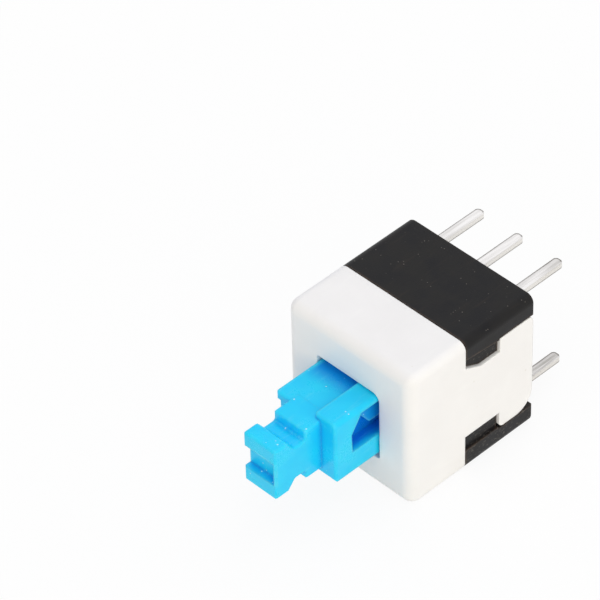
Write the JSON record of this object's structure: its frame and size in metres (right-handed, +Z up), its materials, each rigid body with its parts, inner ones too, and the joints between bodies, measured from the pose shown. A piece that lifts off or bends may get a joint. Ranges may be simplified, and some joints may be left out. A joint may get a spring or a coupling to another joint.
{
  "type": "self locking push switch",
  "caption": "Square latching push switch: white cover hooked over a black terminal base, blue sliding plunger with a locking track, flat solder pins in two rows.",
  "frame": {"origin": "centre of the rear face that seats on the board", "axes": "+Y out of the rear face along the pins, plunger towards -Y, +Z up with the switch lying on one plain side, +X on the side of the locking track"},
  "size_m": [0.008, 0.0171, 0.008],
  "materials": {
    "cover_plastic": "satin warm white moulded plastic",
    "base_plastic": "semi-gloss black moulded plastic",
    "plunger_plastic": "glossy sky blue moulded plastic",
    "terminal_tin": "bright tin plate with stamped edges",
    "spring_steel": "drawn spring wire",
    "contact_alloy": "rolled spring bronze"
  },
  "bodies": {
    "housing": {"front_cover": "cover_plastic", "terminal_base": "base_plastic", "return_spring": "spring_steel", "terminal_upper_open": "terminal_tin", "terminal_upper_common": "terminal_tin", "terminal_upper_closed": "terminal_tin", "terminal_lower_open": "terminal_tin", "terminal_lower_common": "terminal_tin", "terminal_lower_closed": "terminal_tin"},
    "plunger": {"plunger": "plunger_plastic", "moving_contact_upper": "contact_alloy", "moving_contact_lower": "contact_alloy"},
    "latch": {"latch_wire": "spring_steel"}
  },
  "joints": [
    {"name": "plunger_slide", "type": "slide", "parent": "housing", "child": "plunger", "axis": [0, 1, 0], "range_m": [0, 0.0026], "stiffness_N_per_m": 600, "springref_m": -0.0025, "deforming": ["return_spring"]},
    {"name": "latch_swing", "type": "hinge", "parent": "housing", "child": "latch", "pos_m": [0, -0.0009, 0.0004], "axis": [1, 0, 0], "range_deg": [0, 4.4]}
  ],
  "couplings": [
    {"joint": "latch_swing", "follows": "plunger_slide", "rad_per_m": 28.8}
  ]
}
